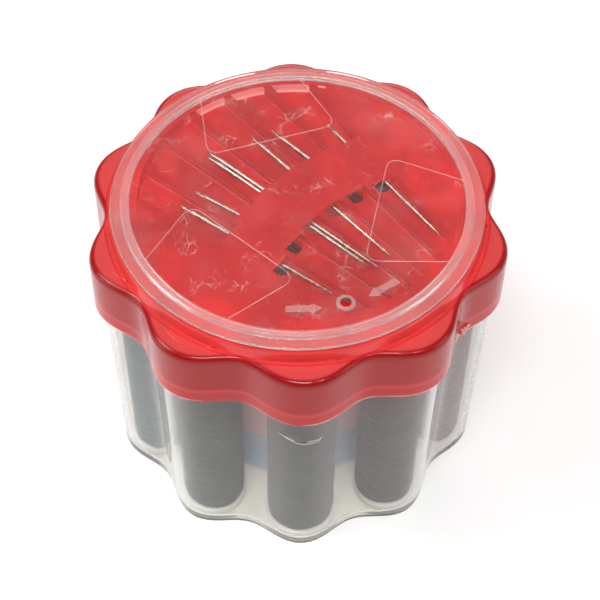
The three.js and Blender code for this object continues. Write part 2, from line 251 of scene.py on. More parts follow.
def turned(name, profile, steps, shape=None, at=(0, 0), smooth_below=SMOOTH_BELOW):
    """A closed solid turned from (radius, height) points, listed upwards on the outside.

    shape(radius, height, bearing) gives a radius in place of the plain one."""
    bm = bmesh.new()
    rings = []
    for radius, height in profile:
        if radius < 1e-6:
            rings.append([bm.verts.new((0, 0, height * MM))])
            continue
        ring = []
        for i in range(steps):
            bearing = FULL_TURN * i / steps
            r = shape(radius, height, bearing) if shape else radius
            point = (r * math.sin(bearing) * MM, -r * math.cos(bearing) * MM, height * MM)
            ring.append(bm.verts.new(point))
        rings.append(ring)
    if len(rings[0]) > 1:
        rings.append(rings[0])
    for low, high in zip(rings, rings[1:]):
        for i in range(steps):
            j = i + 1
            corners = [low[i % len(low)], low[j % len(low)], high[j % len(high)], high[i % len(high)]]
            corners = list(dict.fromkeys(corners))
            if len(corners) > 2:
                bm.faces.new(corners)
    made = show(name, bm, smooth_below)
    made.location = (at[0] * MM, at[1] * MM, 0)
    return made


def drill(radius, low, high, steps, at):
    """A round cutter between two heights."""
    return turned("hole", [(0, low), (radius, low), (radius, high), (0, high)], steps, at=at)


def lobes(wave, second_wave, plain_within):
    """A shape for turned(): it pushes what lies beyond a radius in and out once for each lobe."""
    def shape(radius, height, bearing):
        if radius <= plain_within:
            return radius
        first = wave * math.cos(LOBES * bearing)
        return radius + first + second_wave * math.cos(2 * LOBES * bearing)
    return shape


def loft(name, sections):
    """A closed solid through sections with the same number of (x, y, z) points."""
    bm = bmesh.new()
    rings = [[bm.verts.new(Vector(point) * MM) for point in section] for section in sections]
    for low, high in zip(rings, rings[1:]):
        for i in range(len(low)):
            j = (i + 1) % len(low)
            bm.faces.new([low[i], low[j], high[j], high[i]])
    bm.faces.new(reversed(rings[0]))
    bm.faces.new(rings[-1])
    bmesh.ops.recalc_face_normals(bm, faces=bm.faces)
    return show(name, bm)


def prism(name, outline, low, high, bevel=0):
    """An upright solid of an (x, y) outline, with its top edge rounded."""
    sections = [[(x, y, z) for x, y in outline] for z in (low, high)]
    made = loft(name, sections)
    if bevel:
        bm = bmesh.new()
        bm.from_mesh(made.data)
        top = [e for e in bm.edges if all(v.co.z > (high - 1e-3) * MM for v in e.verts)]
        bmesh.ops.bevel(bm, geom=top, offset=bevel * MM, segments=3, profile=0.5, affect="EDGES")
        bm.to_mesh(made.data)
        bm.free()
        shade(made.data)
    return made


def tube(name, points, radius, sides=10):
    """A round wire along a list of (x, y, z) points, with flat ends."""
    places = [Vector(point) for point in points]
    sections = []
    for i, here in enumerate(places):
        ahead = (places[min(i + 1, len(places) - 1)] - places[max(i - 1, 0)]).normalized()
        across = ahead.cross(Vector((0, 0, 1))).normalized()
        up = across.cross(ahead)
        turns = (FULL_TURN * k / sides for k in range(sides))
        sections.append([here + (across * math.cos(a) + up * math.sin(a)) * radius for a in turns])
    return loft(name, sections)


def settle(thing):
    """A plain mesh object of what an object with modifiers shows."""
    depsgraph = bpy.context.evaluated_depsgraph_get()
    depsgraph.update()
    mesh = bpy.data.meshes.new_from_object(thing.evaluated_get(depsgraph))
    name, matrix = thing.name, thing.matrix_world.copy()
    bpy.data.objects.remove(thing)
    made = place_object(name, mesh)
    made.matrix_world = matrix
    return made


def combine(target, tools, operation, solver="MANIFOLD"):
    """Joins, cuts or clips target by each of the tools in turn, which are used up."""
    for tool in tools:
        modifier = target.modifiers.new("combine", "BOOLEAN")
        modifier.object = tool
        modifier.operation = operation
        modifier.solver = solver
    bpy.context.view_layer.update()
    made = settle(target)
    for tool in tools:
        bpy.data.objects.remove(tool)
    shade(made.data)
    return made


def placed(distance, bearing):
    """The point at a distance from the axis in the direction of a bearing, in degrees."""
    angle = math.radians(bearing)
    return distance * math.sin(angle), -distance * math.cos(angle)


def dress(piece, *materials):
    """Gives a piece its materials, the first of them on every face."""
    piece.data.materials.clear()
    for material in materials:
        piece.data.materials.append(material)


def stand_in(piece, node, *materials):
    """The piece takes a CAD node's place: its body and its looks."""
    dress(piece, *materials)
    # Large flat faces keep flat shading up to the small fillets around them.
    shading = piece.modifiers.new("even_shading", "WEIGHTED_NORMAL")
    shading.keep_sharp = True
    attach(piece, BODY_OF[node])
    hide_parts(node)


def proud_faces(piece, wall, proud, lowest, highest):
    """The faces that stand out from wall(height, bearing), each with its height and bearing."""
    for face in piece.data.polygons:
        x, y, z = face.center / MM
        bearing = math.atan2(x, -y)
        if lowest < z < highest and math.hypot(x, y) > wall(z, bearing) + proud:
            yield face, z, bearing


# ---- Tools for making materials ----

def feed(tree, socket, value):
    """Sets an input to a value, or links another node's output to it."""
    if isinstance(value, bpy.types.NodeSocket):
        tree.links.new(value, socket)
    else:
        socket.default_value = value


def node(tree, kind, inputs=(), **settings):
    """A new node with its settings, and its inputs given as values or as other nodes' outputs."""
    made = tree.nodes.new(kind)
    for key, value in settings.items():
        setattr(made, key, value)
    for key, value in dict(inputs).items():
        feed(tree, made.inputs[key], value)
    return made


def new_material(name):
    material = bpy.data.materials.new(name)
    material.use_nodes = True
    material.node_tree.nodes.clear()
    return material, material.node_tree


def principled(tree, inputs, tint=None):
    """The material's shader. Shadow rays pass it with a tint: thin plastic casts hardly any shadow."""
    shader = node(tree, "ShaderNodeBsdfPrincipled", inputs).outputs[0]
    if tint:
        clear = node(tree, "ShaderNodeBsdfTransparent", {"Color": (*tint, 1)})
        path = node(tree, "ShaderNodeLightPath")
        inputs = {0: path.outputs["Is Shadow Ray"], 1: shader, 2: clear.outputs[0]}
        shader = node(tree, "ShaderNodeMixShader", inputs).outputs[0]
    node(tree, "ShaderNodeOutputMaterial", {"Surface": shader})


def place(tree):
    """The point on the piece, in its own coordinates, in metres."""
    return node(tree, "ShaderNodeTexCoord").outputs["Object"]


def coordinates(tree):
    """That point's x, y and z."""
    return node(tree, "ShaderNodeSeparateXYZ", {0: place(tree)}).outputs


def noise(tree, scale, detail, stretch=(1, 1, 1)):
    """Noise over the piece. scale is in cells a millimetre."""
    mapping = node(tree, "ShaderNodeMapping", {"Vector": place(tree), "Scale": stretch})
    inputs = {"Vector": mapping.outputs[0], "Scale": scale / MM, "Detail": detail}
    return node(tree, "ShaderNodeTexNoise", inputs).outputs["Fac"]


def maths(tree, operation, first, second=0.0):
    return node(tree, "ShaderNodeMath", {0: first, 1: second}, operation=operation).outputs[0]


def times(tree, first, *others):
    """The product of two or more numbers."""
    for other in others:
        first = maths(tree, "MULTIPLY", first, other)
    return first


def spread(tree, value, low, high, to_low=0.0, to_high=1.0):
    """A value between low and high taken to between to_low and to_high, and kept there."""
    inputs = {"Value": value, "From Min": low, "From Max": high, "To Min": to_low, "To Max": to_high}
    return node(tree, "ShaderNodeMapRange", inputs).outputs[0]


def between(tree, factor, first, second):
    """A colour that runs from first to second as factor goes from 0 to 1."""
    made = node(tree, "ShaderNodeMix", {"Factor": factor}, data_type="RGBA")
    # The colour sockets share names with the number ones, so they are set by place.
    for socket, value in zip(made.inputs[6:8], (first, second)):
        feed(tree, socket, value if isinstance(value, bpy.types.NodeSocket) else (*value, 1))
    return made.outputs[2]


def mixed(tree, factor, first, second):
    """A number that runs from first to second as factor goes from 0 to 1."""
    made = node(tree, "ShaderNodeMix", {"Factor": factor, 2: first, 3: second}, data_type="FLOAT")
    return made.outputs[0]


def bump(tree, height, strength, depth):
    """A normal from a height. depth is in millimetres."""
    inputs = {"Height": height, "Strength": strength, "Distance": depth * MM}
    return node(tree, "ShaderNodeBump", inputs).outputs[0]


def scratches(tree, scale, width, amount):
    """Fine short cracks and scratches: the thin edges of cells, kept only in some places."""
    wander = node(tree, "ShaderNodeTexNoise", {"Vector": place(tree), "Scale": 0.25 / MM})
    inputs = {0: wander.outputs["Color"], "Scale": 0.4 * MM / scale}
    drift = node(tree, "ShaderNodeVectorMath", inputs, operation="SCALE")
    moved = node(tree, "ShaderNodeVectorMath", {0: place(tree), 1: drift.outputs[0]}, operation="ADD")
    inputs = {"Vector": moved.outputs[0], "Scale": scale / MM}
    cells = node(tree, "ShaderNodeTexVoronoi", inputs, feature="DISTANCE_TO_EDGE")
    thin = spread(tree, cells.outputs["Distance"], 0.0, width, 1.0, 0.0)
    where = spread(tree, noise(tree, 0.16, 3.0), 1 - amount, 1.08 - amount)
    return times(tree, thin, where)


def cover_plastic(name, frost):
    """Clear polystyrene with fine scratches, specks and cloudy patches. frost is how milky it is."""
    material, tree = new_material(name)
    cloud = spread(tree, noise(tree, 0.09, 3.0), 0.5, 0.8)
    marks = scratches(tree, 0.42, 0.026, 0.44)
    specks = spread(tree, noise(tree, 1.9, 1.0), 0.70, 0.76)
    marred = maths(tree, "MAXIMUM", times(tree, specks, 0.55), marks)
    haze = maths(tree, "ADD", times(tree, cloud, 0.03), frost)
    veil = maths(tree, "MAXIMUM", haze, times(tree, marred, 0.33))
    principled(tree, {
        "Base Color": (0.93, 0.92, 0.90, 1),
        "Transmission Weight": maths(tree, "SUBTRACT", 1.0, veil),
        "Roughness": 0.02 + 0.4 * frost,
        "IOR": 1.49,
    }, (0.93, 0.93, 0.92))
    return material


def band(tree, value, low, high, soft):
    """1 where a length lies between low and high, in millimetres, with soft ends, and 0 elsewhere."""
    rising = spread(tree, value, (low - soft / 2) * MM, (low + soft / 2) * MM)
    falling = spread(tree, value, (high - soft / 2) * MM, (high + soft / 2) * MM, 1.0, 0.0)
    return times(tree, rising, falling)


def length_of(tree, x, y):
    """The length of the flat vector (x, y)."""
    squares = (times(tree, x, x), times(tree, y, y))
    return maths(tree, "SQRT", maths(tree, "ADD", *squares))


def fan_zones(tree, x, y, radius):
    """Where the ribs between the needle channels are, and the foot of the channels' far walls: the masks
    for the ribs' painted shade and the far walls' painted highlight.

    Channels are counted from the last one here, because that is the way angles grow."""
    centre = placed(FAN["distance"], FAN["bearing"])
    away_x = maths(tree, "SUBTRACT", x, centre[0] * MM)
    away_y = maths(tree, "SUBTRACT", y, centre[1] * MM)
    away = length_of(tree, away_x, away_y)
    last = FAN["count"] - 1
    angle = maths(tree, "ARCTAN2", away_y, away_x)
    turn = maths(tree, "SUBTRACT", angle, channel_angle(last))
    channel = maths(tree, "DIVIDE", turn, math.radians(FAN["pitch"]))
    off_bow = maths(tree, "SUBTRACT", channel, last - FAN["bow_channel"])
    bow = times(tree, off_bow, off_bow, FAN["bow"] * MM)
    from_bow = maths(tree, "ADD", away, bow)
    off_middle = maths(tree, "PINGPONG", channel, 0.5)
    beside = maths(tree, "GREATER_THAN", off_middle, 0.5 * FAN["width"] / FAN["pitch"])
    past_edge = 0.75
    after_start = maths(tree, "GREATER_THAN", channel, -past_edge)
    before_end = maths(tree, "LESS_THAN", channel, last + past_edge)
    in_fan_turn = times(tree, after_start, before_end)
    bridge = band(tree, from_bow, FAN["bridge_from"], FAN["bridge_to"], 0.1)
    off_bridge = maths(tree, "SUBTRACT", 1.0, bridge)
    in_plate = maths(tree, "LESS_THAN", radius, LID["plate"] * MM)
    ribs = times(tree, beside, in_fan_turn, in_plate, off_bridge)
    far = maths(tree, "GREATER_THAN", away, FAN["bridge_to"] * MM)
    wall = band(tree, radius, LID["plate"] - 0.35, LID["plate"] + 0.05, 0.1)
    between_ribs = maths(tree, "SUBTRACT", in_fan_turn, times(tree, beside, in_fan_turn))
    # The far walls' painted highlight is kept to the back of the lid.
    at_back = spread(tree, y, 22 * MM, 25 * MM)
    return ribs, times(tree, wall, far, between_ribs, at_back)


def red_plastic():
    """See-through red polystyrene: part of it scatters, and the rest shows what lies behind.

    Painted shade deepens the rounded edge and the ribs, where the plastic is also thicker, and the skirt.
    Painted highlights lighten its flat tops, the platform's side, the hem, the step, the lip and the far
    walls' foot."""
    material, tree = new_material("red_plastic")
    x, y, z = coordinates(tree)
    radius = length_of(tree, x, y)
    outside = spread(tree, radius, (LID["foot"] + 0.3) * MM, (LID["foot"] + 1.1) * MM)
    # Masks for the ribs' painted shade and the far walls' painted highlight.
    ribs, ends = fan_zones(tree, x, y, radius)

    def outer(low, high, soft):
        return times(tree, outside, band(tree, z, low, high, soft))

    flow = spread(tree, noise(tree, 0.05, 2.0), 0.35, 0.7)
    # Noise patches for the pale painted highlight along the lid's bottom lip.
    lip_highlight_patches = spread(tree, noise(tree, 0.12, 3.0), 0.42, 0.6)
    bottom, edge, top = LID_BOTTOM_Z - 1, LID["edge_z"], LID["top_z"]
    lip = outer(bottom, LID_BOTTOM_Z + 0.45, 0.3)
    side = band(tree, radius, LID["platform_top"] + 0.1, LID["foot"] + 0.6, 0.3)
    side_height = band(tree, z, top - 0.1, LID["platform_top_z"] - 0.1, 0.2)
    side = times(tree, side, side_height)
    # Place, colour and clearness of each zone: edge, tops, side, skirt, hem, step, lip, ribs and far
    # walls. A later zone covers an earlier one. Every zone paints light or shade. The rounded edge and the
    # ribs get painted shade, and their plastic is also thicker there. The upright skirt gets painted shade.
    # The flat tops and the platform's side get a painted highlight, and the hem below the step painted
    # light. The step and the lip get painted highlight lines, and the foot of the far walls a painted
    # highlight.
    painted_light_zones = [
        (outer(edge, top - 0.04, 0.9), (0.40, 0.003, 0.005), 0.3),
        (outer(top - 0.04, top + 1, 0.06), (0.95, 0.11, 0.105), 0.4),
        (side, (0.92, 0.08, 0.08), 0.35),
        (outer(BASE_STEP_Z, edge, 0.9), (0.52, 0.006, 0.008), 0.36),
        (outer(bottom, BASE_STEP_Z - 0.3, 0.3), (0.60, 0.012, 0.015), 0.34),
        (outer(BASE_STEP_Z - 0.5, BASE_STEP_Z + 0.3, 0.9), (0.80, 0.045, 0.048), 0.3),
        (times(tree, lip, lip_highlight_patches), (0.95, 0.60, 0.58), 0.15),
        (ribs, (0.42, 0.003, 0.005), 0.3),
        (ends, (0.92, 0.34, 0.32), 0.3),
    ]
    colour = between(tree, flow, (0.77, 0.016, 0.018), (0.60, 0.011, 0.013))
    clear = 0.6
    for where, zone_colour, zone_clear in painted_light_zones:
        colour = between(tree, where, colour, zone_colour)
        clear = mixed(tree, where, clear, zone_clear)
    principled(tree, {
        "Base Color": colour,
        "Transmission Weight": clear,
        "Roughness": spread(tree, noise(tree, 0.6, 2.0), 0.3, 0.7, 0.14, 0.24),
        "IOR": 1.35,
        "Coat Weight": 0.15,
        "Coat Roughness": 0.05,
        "Normal": bump(tree, flow, 0.15, 0.3),
    }, (0.85, 0.22, 0.20))
    return material


def milky_plastic():
    """Clear polystyrene, slightly milky, with faint flow marks down its walls and fine scuffs.

    It is darker where it is seen edge on, because light goes a long way through it there."""
    material, tree = new_material("milky_plastic")
    flow = noise(tree, 0.12, 3.0, (1, 1, 0.25))
    scuffs = scratches(tree, 0.22, 0.02, 0.36)
    grain = spread(tree, noise(tree, 1.3, 3.0), 0.38, 0.66, 0.0, 0.026)
    haze = maths(tree, "ADD", spread(tree, flow, 0.3, 0.7, 0.002, 0.012), grain)
    veil = maths(tree, "MAXIMUM", haze, times(tree, scuffs, 0.25))
    edge_on = node(tree, "ShaderNodeLayerWeight", {"Blend": 0.5}).outputs["Facing"]
    edge = spread(tree, edge_on, 0.90, 0.99)
    # Darker and warmer towards the bottom, over the foot and the cup's floor.
    floor = band(tree, coordinates(tree)["Z"], -1, 2.4, 1.0)
    body = between(tree, floor, (0.86, 0.855, 0.835), (0.69, 0.67, 0.63))
    principled(tree, {
        "Base Color": between(tree, edge, body, (0.72, 0.73, 0.72)),
        "Transmission Weight": maths(tree, "SUBTRACT", 1.0, veil),
        "Roughness": spread(tree, noise(tree, 0.4, 3.0), 0.3, 0.7, 0.05, 0.12),
        "IOR": 1.3,
        "Coat Weight": 0.2,
        "Coat Roughness": 0.06,
        "Normal": bump(tree, flow, 0.15, 0.1),
    }, (0.92, 0.92, 0.91))
    return material


def mark_look(name, colour):
    """A scuffed or dirty spot: dull and speckled."""
    material, tree = new_material(name)
    principled(tree, {
        "Base Color": between(tree, noise(tree, 2.5, 3.0), colour, tuple(0.7 * c for c in colour)),
        "Roughness": 0.6,
    })
    return material


def steel(name, colour, rough):
    """Polished metal with fine marks and dull patches."""
    material, tree = new_material(name)
    patches = spread(tree, noise(tree, 0.8, 3.0), 0.3, 0.7, rough * 0.8, rough * 1.3)
    tone = between(tree, noise(tree, 0.35, 2.0), colour, tuple(0.9 * c for c in colour))
    principled(tree, {
        "Base Color": tone,
        "Metallic": 1.0,
        "Roughness": patches,
        "Normal": bump(tree, noise(tree, 6.0, 2.0, (0.2, 0.2, 1)), 0.02, 0.01),
    })
    return material


def moulded(name, colour, rough=0.35):
    """Opaque moulded plastic with a slightly uneven satin surface."""
    material, tree = new_material(name)
    tone = between(tree, noise(tree, 0.15, 3.0), colour, tuple(0.86 * c for c in colour))
    principled(tree, {
        "Base Color": tone,
        "Roughness": spread(tree, noise(tree, 0.9, 3.0), 0.3, 0.7, rough * 0.8, rough * 1.3),
        "Subsurface Weight": 0.15,
        "Subsurface Scale": 0.001,
        "Normal": bump(tree, noise(tree, 1.6, 3.0), 0.2, 0.03),
    })
    return material


def thread_material(name, colour):
    """Wound sewing thread: fine slanting strands, with a painted highlight on their crowns, and painted
    shade between the strands and between its layers.
    """
    material, tree = new_material(name)
    x, y, z = coordinates(tree)
    angle = maths(tree, "ARCTAN2", y, x)
    along = times(tree, z, FULL_TURN / (THREAD["strand_pitch"] * MM))
    slant = times(tree, angle, THREAD["strand_slant"])
    strands = maths(tree, "SINE", maths(tree, "ADD", along, slant))
    # The strands' crowns: a height for the bump, and a painted highlight on them with painted shade between
    # them.
    crowns = spread(tree, strands, -1.0, 1.0)
    # Painted lit and shaded tones of the thread's colour.
    bright, dark = tuple(0.68 * c for c in colour), tuple(0.1 * c for c in colour)
    climb = times(tree, z, FULL_TURN / (THREAD["layer_pitch"] * MM))
    slant = times(tree, angle, THREAD["layer_slant"])
    layers = maths(tree, "SINE", maths(tree, "SUBTRACT", climb, slant))
    # Painted shade in the grooves between the layers.
    painted_layer_shade = spread(tree, layers, -1.0, 1.0, 0.45, 1.0)
    patches = spread(tree, noise(tree, 0.5, 4.0), 0.3, 0.7, 0.6, 1.0)
    # Painted highlight and shade, with random patches of tone.
    uneven = times(tree, crowns, patches, painted_layer_shade)
    principled(tree, {
        "Base Color": between(tree, uneven, dark, bright),
        "Roughness": 0.75,
        "Sheen Weight": 0.15,
        "Normal": bump(tree, crowns, 0.9, 0.12),
    })
    return material


# ---- The base ----

def wall_radius(height):
    """The base's outer radius at a height, before the lobes."""
    share = (height - BASE["bottom_z"]) / (BASE_STEP_Z - BASE["bottom_z"])
    return BASE["bottom"] + (BASE["top"] - BASE["bottom"]) * share


def base_marks(routes, wall):
    """Hairline ridges along the base's wall, half sunk in it."""
    made = []
    for route in routes:
        points = []
        for bearing, height in route:
            radius = wall(height, math.radians(bearing))
            points.append((*placed(radius, bearing), height))
        made.append(tube("mark", points, MARK_RADIUS, sides=6))
    return made


def make_base(material, pale_mark, dark_mark):
    """The lobed cup, with a small step for the lid's hem and the marks on its wall."""
    top = BASE["top"] - BASE_STEP
    profile = rounded([
        (0, 0, 0),
        (BASE["foot"], 0, 0.6),
        (BASE["bottom"] - 0.25, 0.45, 0.9),
        (BASE["bottom"], BASE["bottom_z"], 2.0),
        (BASE["top"] - 0.05, BASE_STEP_Z, 0.1),
        (top, BASE_STEP_Z + 0.25, 0.1),
        (top, BASE_TOP_Z, 0.3),
        (BASE["top"] - BASE["wall"], BASE_TOP_Z, 0.3),
        (BASE["bottom"] - BASE["wall"], BASE["floor"] + 1.2, 1.5),
        (BASE["foot"] - 0.2, BASE["floor"], 0.8),
        (0, BASE["floor"], 0),
    ])
    shape = lobes(BASE["wave"], 0, BASE["plain_within"])

    def wall(height, bearing):
        return shape(wall_radius(height), height, bearing)

    piece = turned("base_shell", profile, LOBES * LOBE_STEPS, shape)
    piece = combine(piece, base_marks(BASE_MARKS["pale"] + BASE_MARKS["dark"], wall), "UNION")
    stand_in(piece, "base_cup", material, pale_mark, dark_mark)
    for face, z, bearing in proud_faces(piece, wall, proud=0.015, lowest=3, highest=50.5):
        is_speck = abs(math.degrees(bearing)) < 1 and z < 25
        face.material_index = 2 if is_speck else 1


# ---- The lid ----

def channel_angle(channel):
    """The direction of a channel from the fan's centre, as an angle from +X in radians."""
    middle = (FAN["count"] - 1) / 2
    return math.radians(90 + FAN["bearing"] + FAN["lean"] + (middle - channel) * FAN["pitch"])


def in_fan(channel, distance, side, height):
    """A point at a distance from the fan's centre along a channel and a step to one side."""
    centre = placed(FAN["distance"], FAN["bearing"])
    angle = channel_angle(channel)
    x = centre[0] + distance * math.cos(angle) - side * math.sin(angle)
    y = centre[1] + distance * math.sin(angle) + side * math.cos(angle)
    return x, y, height


def bridge_bow(channel):
    """How far the bridge lies towards the fan's centre at a channel: its edges bow more than the fan."""
    return FAN["bow"] * (channel - FAN["bow_channel"]) ** 2


def channel_cutter(channel, start, end, reach):
    """One stretch of a channel, with a rounded floor, ended by a round wall at a radius."""
    spread_angle = math.radians(FAN["width"] / 2)
    sections = []
    for distance in (start, end):
        half = distance * spread_angle
        across = rounded([
            (-half, LID["collar_top_z"] + 1, 0),
            (-half, FAN["floor_z"], 0.35),
            (half, FAN["floor_z"], 0.35),
            (half, LID["collar_top_z"] + 1, 0),
        ])
        sections.append([in_fan(channel, distance, side, z) for side, z in across])
    cutter = loft("channel", sections)
    floor = FAN["floor_z"] - 0.01
    above = floor + 9
    wall_outline = rounded([(0, floor, 0), (reach, floor, 0.8), (reach, above, 0), (0, above, 0)])
    round_wall = turned("round_wall", wall_outline, 240)
    return combine(cutter, [round_wall], "INTERSECT")


def tunnel_cutter(channel):
    """The hole under the bridge, open to the inside of the lid, with a round front end."""
    half, bow, steps = FAN["tunnel_width"] / 2, bridge_bow(channel), 8
    outline = [in_fan(channel, FAN["tunnel_back"] - bow, side, 0)[:2] for side in (-half, half)]
    for i in range(steps + 1):
        turn = math.radians(90 - 180 * i / steps)
        distance = FAN["tunnel_front"] - bow + half - half * math.cos(turn)
        outline.append(in_fan(channel, distance, half * math.sin(turn), 0)[:2])
    return prism("tunnel", outline, LID["platform_ceiling_z"] - 1, FAN["tunnel_roof_z"])


def lid_profile():
    """The lid as one turned outline, from the middle of its ceiling out, up and back in."""
    inner = LID["platform_inner"] + 0.3
    skirt_in = LID["skirt_top"] - LID["wall"]
    return rounded([
        (0, LID["platform_ceiling_z"], 0),
        (LID["platform_inner"], LID["platform_ceiling_z"], 0.4),
        (inner, LID["ceiling_z"], 0.4),
        (skirt_in, LID["ceiling_z"], 0.8),
        (skirt_in + 0.1, BASE_STEP_Z + 0.15, 0),
        (skirt_in - 0.1, BASE_STEP_Z - 0.15, 0),
        (LID["skirt_bottom"] - LID["wall"] - 0.1, LID_BOTTOM_Z, 0.2),
        (LID["skirt_bottom"], LID_BOTTOM_Z, 0.25),
        (LID["skirt_top"], LID["top_z"], LID["edge_radius"]),
        (LID["foot"], LID["top_z"], 0.35),
        (LID["foot"] - 0.4, LID["platform_top_z"] - 0.5, 0.2),
        (LID["platform_top"], LID["platform_top_z"], 0.2),
        (LID["collar"], LID["platform_top_z"], 0.15),
        (LID["collar"], LID["collar_top_z"], 0.12),
        (LID["plate"], LID["collar_top_z"], 0.12),
        (LID["plate"], LID["plate_z"], 0.06),
        (0, LID["plate_z"], 0),
    ], steps=6)


def moulding_scar(shape):
    """The torn stub that the moulding gate left on the hem: small ragged ridges."""
    made = []
    upright = Vector((0, 0, 1))
    for step, rise, long, tilt in SCAR["ridges"]:
        bearing = SCAR["bearing"] + math.degrees(step / LID["skirt_bottom"])
        radius = shape(LID["skirt_bottom"], SCAR["z"], math.radians(bearing))
        out = Vector((*placed(1, bearing), 0))
        side = out.cross(upright)
        way = side * math.cos(math.radians(tilt)) + upright * math.sin(math.radians(tilt))
        middle = out * radius + Vector((0, 0, SCAR["z"] + rise))
        route = [middle + way * (along * long) + out * high for along, high in SCAR["points"]]
        made.append(tube("scar", route, SCAR["radius"], sides=6))
    return made


def make_lid(material, scar_look):
    """The lobed lid: its shell, the scar on its hem, and the cut channels and tunnels of the fan."""
    shape = lobes(LID["wave"], LID["second_wave"], LID["foot"] + 0.01)
    piece = turned("lid_shell", lid_profile(), LOBES * LOBE_STEPS, shape)
    piece = combine(piece, moulding_scar(shape), "UNION")
    cutters = []
    for channel in range(FAN["count"]):
        bow = bridge_bow(channel)
        cutters.append(channel_cutter(channel, FAN["bridge_to"] - bow, FAN["end"], LID["plate"]))
        cutters.append(channel_cutter(channel, FAN["start"], FAN["bridge_from"] - bow, FAN["front_radius"]))
        cutters.append(tunnel_cutter(channel))
    piece = combine(piece, cutters, "DIFFERENCE")
    stand_in(piece, "lid", material, scar_look)

    def wall(height, bearing):
        return shape(LID["skirt_bottom"], height, bearing)

    for face, _, _ in proud_faces(piece, wall, 0.03, lowest=LID_BOTTOM_Z - 1, highest=BASE_STEP_Z + 2):
        face.material_index = 1


# ---- The clear cover ----

def cover_profile():
    """The cover's outline, from its plate out to the thin flange and back over the ring."""
    low = COVER_FLANGE_Z
    outer, inner = COVER["ring_outer"], COVER["ring_inner"]
    return rounded([
        (0, low + COVER["plate_low"], 0),
        (inner, low + COVER["plate_low"], 0.2),
        (inner, low, 0.1),
        (COVER_RADIUS, low, 0.18),
        (COVER_RADIUS, low + COVER["flange"], 0.18),
        (outer, low + COVER["flange"], 0.25),
        (outer - 0.05, low + COVER["ring"], 0.55),
        (inner + 0.05, low + COVER["ring"], 0.55),
        (inner, low + COVER["plate"], 0.2),
        (0, low + COVER["plate"], 0),
    ], steps=6)


def knurled(radius, height, bearing):
    """The rim's fine teeth: the outermost points dip in and out round the edge."""
    if radius < COVER_RADIUS - 0.25:
        return radius
    return radius - COVER["knurl"] * (0.5 - 0.5 * math.cos(KNURLS * bearing))


def arrow_outline():
    """A flat arrow that points along +Y."""
    end, neck = ARROW["length"] / 2, ARROW["length"] / 2 - ARROW["head"]
    return rounded([
        (-ARROW["half"], -end, 0.3),
        (ARROW["half"], -end, 0.3),
        (ARROW["half"], neck, 0.1),
        (ARROW["head_half"], neck, 0.2),
        (0, end, 0.2),
        (-ARROW["head_half"], neck, 0.2),
        (-ARROW["half"], neck, 0.1),
    ], steps=3, closed=True)


def make_arrow(side, floor):
    """One raised arrow beside the hole, pointing at it."""
    bearing = HOLE["bearing"] + side * ARROW["turn"]
    piece = prism("arrow", arrow_outline(), floor - 0.2, floor + ARROW["height"], 0.1)
    x, y = placed(HOLE["at"], bearing)
    turn = math.radians(bearing - side * 90 + 180)
    move = Matrix.Translation((x * MM, y * MM, 0)) @ Matrix.Rotation(turn, 4, "Z")
    piece.data.transform(move)
    return piece


def panel_line(bearing, floor):
    """A fine raised line: a straight base with rounded corners, and legs that close in on the ring."""
    out = Vector(placed(1, bearing))
    side = Vector((-out.y, out.x))
    reach = math.sqrt((COVER["ring_inner"] + 0.1) ** 2 - PANEL["end_half"] ** 2)
    corners = [
        (-PANEL["end_half"], reach, 0),
        (-PANEL["half"], PANEL["base"], PANEL["corner"]),
        (PANEL["half"], PANEL["base"], PANEL["corner"]),
        (PANEL["end_half"], reach, 0),
    ]
    points = []
    for across, away in rounded(corners, steps=8):
        place_on = out * away + side * across
        points.append((place_on.x, place_on.y, floor - 0.04))
    return tube("panel_line", points, PANEL["wire"])


def make_cover(clear, frosted, line_white, ring_plastic):
    """The knurled disc with its raised rim, arrows and panel lines, and its hole."""
    floor = COVER_FLANGE_Z + COVER["plate"]
    piece = turned("cover_disc", cover_profile(), 2 * KNURLS, knurled)
    x, y = placed(HOLE["at"], HOLE["bearing"])
    rim_top = floor + HOLE["rim_height"]
    rim_profile = rounded([
        (0, floor - 0.2, 0),
        (HOLE["rim"], floor - 0.2, 0),
        (HOLE["rim"], rim_top, 0.2),
        (0, rim_top, 0),
    ])
    added = [turned("rim", rim_profile, 48, at=(x, y))]
    added += [make_arrow(side, floor) for side in (-1, 1)]
    added += [panel_line(HOLE["bearing"] + turn, floor) for turn in (180, -60, 60)]
    piece = combine(piece, added, "UNION")
    below, above = 60, 80
    piece = combine(piece, [drill(HOLE["radius"], below, above, 48, (x, y))], "DIFFERENCE")
    stand_in(piece, "needle_cover", clear, frosted, line_white, ring_plastic)
    for face in piece.data.polygons:
        centre = face.center / MM
        away = math.hypot(centre.x, centre.y)
        by_hole = math.hypot(centre.x - x, centre.y - y) < ARROWS_WITHIN
        if away > COVER["ring_outer"] + 0.3:
            face.material_index = 0
        elif away > COVER["ring_inner"] - 0.05:
            face.material_index = 3
        elif centre.z > floor + 0.01:
            face.material_index = 1 if by_hole else 2


# ---- Needles ----

